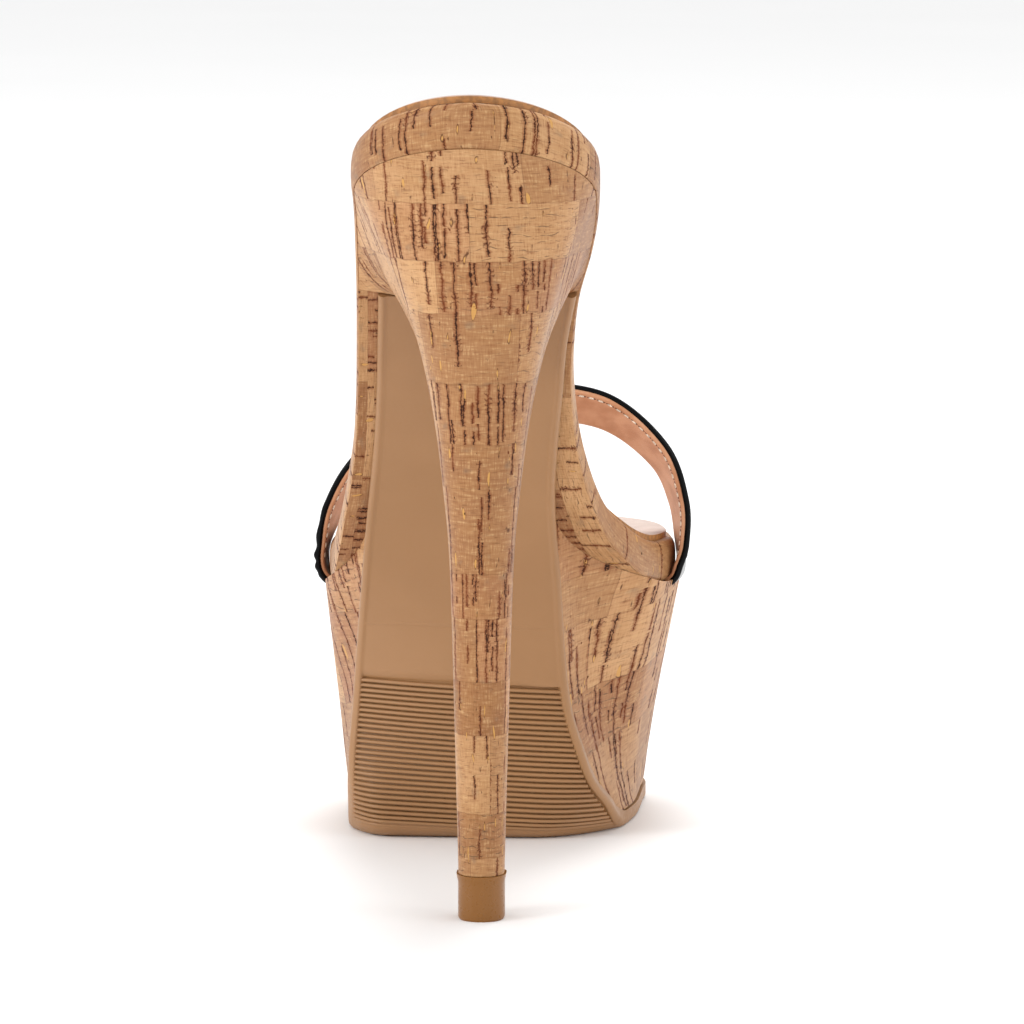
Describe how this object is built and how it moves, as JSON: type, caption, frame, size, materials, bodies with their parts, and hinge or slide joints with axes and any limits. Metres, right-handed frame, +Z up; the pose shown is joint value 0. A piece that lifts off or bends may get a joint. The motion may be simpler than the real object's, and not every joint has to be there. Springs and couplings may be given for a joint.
{
  "type": "platform sandal",
  "caption": "Left high-heeled platform mule sandal with a cork-wrapped block heel, platform and footbed, a ribbed rubber outsole and one narrow arched forefoot strap.",
  "frame": {"origin": "middle of the bounding box's base, on the surface that the shoe stands on", "axes": "+Y from heel to toe, +X towards the inner side of the left foot, +Z up"},
  "size_m": [0.0946, 0.2116, 0.1919],
  "materials": {
    "cork": "satin",
    "outsole_rubber": "satin",
    "lift_rubber": "satin",
    "lining_leather": "matte",
    "patent_strap": "gloss"
  },
  "bodies": {
    "root": {"outsole": "outsole_rubber", "platform": "cork", "footbed": "cork", "heel": "cork", "sock_lining": "lining_leather", "heel_lift": "lift_rubber", "vamp_strap": "patent_strap"}
  },
  "joints": []
}
